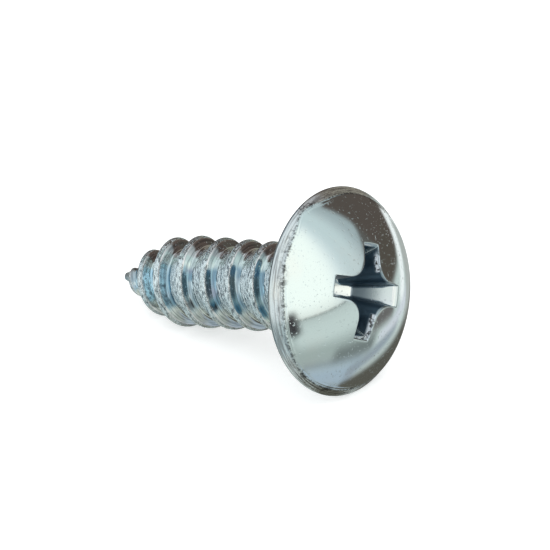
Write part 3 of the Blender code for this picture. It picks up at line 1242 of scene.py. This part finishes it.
@dataclass
class Surround:
    """The studio as the plating mirrors it: a bright tent, a grey table, dark gaps and the camera's side."""

    radius: float = 1.0
    columns: int = 400
    rows: int = 240
    tent: Colour = (0.80, 0.88, 0.94)
    table: Colour = (0.66, 0.74, 0.73)
    tent_panels: tuple[Panel, ...] = (
        Panel("tent_middle", -6, 26, 26, 40, 30, (1.12, 1.17, 1.13)),
        Panel("tent_side", 38, 30, 14, 34, 20, (0.64, 0.74, 0.77)),
        Panel("tent_dim", 57, 28, 11, 34, 16, (0.42, 0.49, 0.52)),
    )
    panels: tuple[Panel, ...] = (
        Panel("table_left", -30, -14, 10, 12, 10, (0.44, 0.51, 0.50)),
        Panel("table_middle", 6, -27, 34, 7, 12, (0.42, 0.48, 0.47)),
        Panel("table_foot", 6, -36, 36, 4, 9, (0.33, 0.37, 0.38)),
        Panel("table_far", 32, -32, 20, 5, 9, (0.21, 0.24, 0.24)),
        Panel("blue_sheet", 8, -46, 38, 8, 12, (0.43, 0.52, 0.62)),
        Panel("blue_sheet_right", 58, -37, 26, 3.5, 6, (0.34, 0.39, 0.45), 18),
        Panel("dark_lower_right", 84, -44.5, 48, 8.5, 6, (0.11, 0.105, 0.09), 17),
        Panel("dark_below", 40, -68, 90, 15, 10, (0.12, 0.12, 0.10)),
        Panel("dark_middle_right", 58, -22, 14, 5, 7, (0.17, 0.16, 0.16)),
        Panel("dark_slant", 64, 8, 13, 21, 5, (0.125, 0.12, 0.115), -40),
        Panel("dark_right", 83, 18, 22, 31, 6, (0.105, 0.085, 0.076), 8),
        Panel("dark_back", 138, 14, 28, 28, 8, (0.11, 0.088, 0.080)),
        Panel("dark_right_low", 70, -6, 14, 8, 6, (0.10, 0.085, 0.072)),
        Panel("grey_right", 108, 20, 8, 28, 6, (0.38, 0.36, 0.31)),
        Panel("grey_top", 125, 54, 34, 9, 8, (0.46, 0.44, 0.46)),
        Panel("grey_edge", 104, -20, 9, 10, 7, (0.46, 0.48, 0.47)),
        Panel("bright_gap", 90.5, -16, 4.5, 12, 4, (1.02, 1.04, 1.06), -33),
        Panel("bright_strip", 76, -29, 20, 2.0, 4, (0.74, 0.76, 0.84), 6),
        Panel("front_upper", -84, 14, 12, 22, 14, (0.76, 0.86, 0.88)),
        Panel("front_lower", -88, -24, 28, 20, 14, (0.40, 0.47, 0.50)),
        Panel("rim_bright", -56, 27, 9, 9, 12, (1.15, 1.15, 1.10)),
        Panel("rim_low", -56, -22, 9, 20, 8, (0.52, 0.66, 0.72)),
        Panel("rim_foot", -54, -48, 14, 8, 8, (0.24, 0.26, 0.26)),
        Panel("crease_patch", -22, -2.5, 4.5, 8.5, 7, (0.05, 0.045, 0.05), 14),
        Panel("light_left", -108, 28, 16, 34, 16, (0.90, 1.0, 1.06)),
        Panel("thread_bright", -133, -3, 10, 15, 10, (1.30, 1.40, 1.42)),
        Panel("point_dark", -175, -2, 21, 16, 12, (0.19, 0.23, 0.25), -20),
        Panel("point_blue", -152, -38, 16, 12, 12, (0.17, 0.31, 0.40)),
        Panel("far_blue", 166, 16, 16, 8, 10, (0.16, 0.28, 0.40)),
    )
    table_edge: float = 1.6
    line_width: float = 0.7
    line_half: float = 24.0
    line_soft: float = 5.0
    line_dark: float = 0.95
    dash_depth: float = 0.28
    dash_rate: float = 2.3
    dash_stray: float = 2.0
    stray_rate: float = 0.7
    haze_up: float = 1.0
    haze_width: float = 6.0
    haze_half: float = 60.0
    haze_soft: float = 20.0
    haze_dark: float = 0.16

    def colours(self, east: Array, up: Array) -> Array:
        """The surround's colour in each direction.

        The tent stands over the table, the panels are laid on in turn, and a dark line in dashes and a haze
        run along the far edge of the table, both in front of the screw only.

        Args:
            east: angles from +X towards +Y in degrees.
            up: angles above the floor in degrees.

        Returns:
            (..., 3) colours.
        """
        paint = self.laid_on(np.array(self.tent) + 0 * east[..., None], self.tent_panels, east, up)
        above = smooth_step(up / self.table_edge + 0.5)[..., None]
        paint = np.array(self.table) * (1 - above) + paint * above
        paint = self.laid_on(paint, self.panels, east, up)
        aside = np.abs(east)
        stray = self.dash_stray * np.sin(self.stray_rate * east)
        dashes = 1 + self.dash_depth * (np.sin(self.dash_rate * east + stray) - 1)
        in_front = smooth_step((self.line_half - aside) / self.line_soft)
        line = self.line_dark * fade(up, 0.0, self.line_width) * in_front * dashes
        in_front = smooth_step((self.haze_half - aside) / self.haze_soft)
        haze = self.haze_dark * fade(up, self.haze_up, self.haze_width) * in_front
        return paint * ((1 - line) * (1 - haze))[..., None]

    def laid_on(self, paint: Array, panels: tuple[Panel, ...], east: Array, up: Array) -> Array:
        """Lays panels one after another over colours that are there.

        Args:
            paint: the colours so far, (..., 3).
            panels: the panels, the last one on top.
            east: angles from +X towards +Y in degrees.
            up: angles above the floor in degrees.

        Returns:
            (..., 3) colours.
        """
        for panel in panels:
            LOG.debug("laid on: %s", panel.name)
            cover = panel.cover(east, up)[..., None]
            paint = paint * (1 - cover) + np.array(panel.colour) * cover
        return paint

    def build(self) -> bpy.types.Object:
        """Builds the surround as a sphere: radius * (cos up cos east, cos up sin east, sin up).

        Returns:
            The surround, which no camera, diffuse or shadow ray sees.
        """
        over = self.columns + 1
        east, up = np.meshgrid(np.linspace(-180, 180, over), np.linspace(-90, 90, self.rows + 1))
        lon, lat = np.radians(east), np.radians(up)
        points = self.radius * turned(np.cos(lat), np.sin(lat), lon)
        row, column = np.meshgrid(np.arange(self.rows), np.arange(self.columns), indexing="ij")
        first = (row * over + column).ravel()
        quads = np.stack([first, first + over, first + over + 1, first + 1], -1)
        data = bpy.data.meshes.new("surround")
        data.from_pydata(points.reshape(-1, 3), [], quads.tolist())
        paint = data.color_attributes.new("paint", "FLOAT_COLOR", "POINT")
        colours = np.ones((east.size, 4), np.float32)
        colours[:, :3] = self.colours(east, up).reshape(-1, 3)
        paint.data.foreach_set("color", colours.ravel())
        made = add_object("surround", data)
        data.materials.append(self.glow())
        made.visible_camera = False
        made.visible_diffuse = False
        made.visible_shadow = False
        return made

    def glow(self) -> bpy.types.Material:
        """The surround's material.

        Returns:
            A glow of strength 1 in the painted colour.
        """
        material, nodes = new_material("surround_glow")
        nodes.tree.nodes.clear()
        glow = nodes.node("ShaderNodeEmission")
        paint = nodes.node("ShaderNodeAttribute", attribute_name="paint")
        nodes.feed(glow.inputs["Color"], paint.outputs["Color"])
        out = nodes.node("ShaderNodeOutputMaterial")
        nodes.feed(out.inputs["Surface"], glow.outputs["Emission"])
        return material


@dataclass
class Studio:
    """A pale floor under soft light from a white world, with the surround that the metal mirrors."""

    floor_half: float = 0.6
    floor_colour: Colour = (0.86, 0.87, 0.87)
    floor_rough: float = 0.9
    floor_shine: float = 0.2
    floor_lift: float = 0.50
    world_level: float = 0.82
    lamp_size: float = 0.5
    lamp_watts: float = 0.9
    lamp_place: tuple[float, float, float] = (0.15, -0.35, 0.6)

    def floor(self) -> bpy.types.Object:
        """A plain pale floor that the camera sees lifted to white outside the shadow.

        Returns:
            The floor, which the plating doesn't mirror.
        """
        half = self.floor_half
        corners = [(-half, -half, 0), (half, -half, 0), (half, half, 0), (-half, half, 0)]
        data = bpy.data.meshes.new("floor")
        data.from_pydata(corners, [], [(0, 1, 2, 3)])
        made = add_object("floor", data)
        made.visible_glossy = False
        material, nodes = new_material("pale_floor")
        inputs = nodes.tree.nodes["Principled BSDF"].inputs
        nodes.feed(inputs["Base Color"], self.floor_colour)
        nodes.feed(inputs["Roughness"], self.floor_rough)
        nodes.feed(inputs["Specular IOR Level"], self.floor_shine)
        nodes.feed(inputs["Emission Color"], (1.0, 1.0, 1.0))
        seen = nodes.node("ShaderNodeLightPath").outputs["Is Camera Ray"]
        nodes.feed(inputs["Emission Strength"], nodes.times(seen, self.floor_lift))
        data.materials.append(material)
        return made

    def world(self) -> None:
        """A white world: plain white to the eye and in mirrors, and a level of light on everything else."""
        world = bpy.data.worlds.new("white_world")
        bpy.context.scene.world = world
        world.use_nodes = True
        nodes = NodeMaker(world.node_tree)
        inputs = world.node_tree.nodes["Background"].inputs
        nodes.feed(inputs["Color"], (1.0, 1.0, 1.0))
        path = nodes.node("ShaderNodeLightPath").outputs
        seen = nodes.maths("MAXIMUM", path["Is Camera Ray"], path["Is Glossy Ray"])
        seen = nodes.maths("MAXIMUM", seen, path["Is Transmission Ray"])
        nodes.feed(inputs["Strength"], nodes.between(seen, self.world_level, 1.0))

    def lamp(self) -> None:
        """One large soft lamp from above and in front, for the floor's shadow."""
        data = bpy.data.lights.new("soft_lamp", "AREA")
        data.shape = "SQUARE"
        data.size = self.lamp_size
        data.energy = self.lamp_watts
        made = add_object("soft_lamp", data)
        made.location = self.lamp_place
        made.rotation_euler = (-Vector(made.location)).to_track_quat("-Z", "Y").to_euler()
        made.visible_glossy = False

    def build(self) -> None:
        """Makes the floor, the surround, the world and the lamp."""
        self.floor()
        Surround().build()
        self.world()
        self.lamp()
        LOG.info("studio: floor, surround, world and lamp")


@dataclass
class PhotoCamera:
    """A long lens at the photograph's angle, with its target at a given pixel of the frame."""

    azimuth: float = math.radians(38.746)
    elevation: float = math.radians(29.163)
    distance: float = 0.4
    pixels: float = 550.0
    pixels_per_metre: float = 22558.0
    middle: tuple[float, float] = (250.063, 255.51)
    target: tuple[float, float, float] = (0.0, 0.0, 0.0045)
    sensor_width: float = 36.0
    clip: tuple[float, float] = (0.01, 10.0)

    def build(self) -> bpy.types.Object:
        """Makes the camera and takes the picture from it.

        Returns:
            The camera, which looks along (-sin az cos el, cos az cos el, -sin el).
        """
        data = bpy.data.cameras.new("photo_camera")
        data.sensor_width = self.sensor_width
        data.lens = self.sensor_width * self.distance * self.pixels_per_metre / self.pixels
        data.shift_x = 0.5 - self.middle[0] / self.pixels
        data.shift_y = self.middle[1] / self.pixels - 0.5
        data.clip_start, data.clip_end = self.clip
        level = math.cos(self.elevation)
        look = (-math.sin(self.azimuth) * level, math.cos(self.azimuth) * level, -math.sin(self.elevation))
        made = add_object("photo_camera", data)
        made.location = Vector(self.target) - Vector(look) * self.distance
        made.rotation_euler = Vector(look).to_track_quat("-Z", "Y").to_euler()
        bpy.context.scene.camera = made
        LOG.info("photo_camera: %.0f mm lens", data.lens)
        return made


def main() -> None:
    """Builds the screw's surface, its studio and its camera, and reports each."""
    logging.basicConfig(level=logging.INFO, format="%(message)s")
    screw = FineScrew().build()
    screw.data.materials.append(ZincPlating().make())
    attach(screw, "root")
    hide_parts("screw")
    LOG.info("screw_surface: %d faces", len(screw.data.polygons))
    Studio().build()
    PhotoCamera().build()
    bpy.context.scene.view_settings.view_transform = "Standard"
    LOG.info("sizes written")


if __name__ == "__main__":
    main()
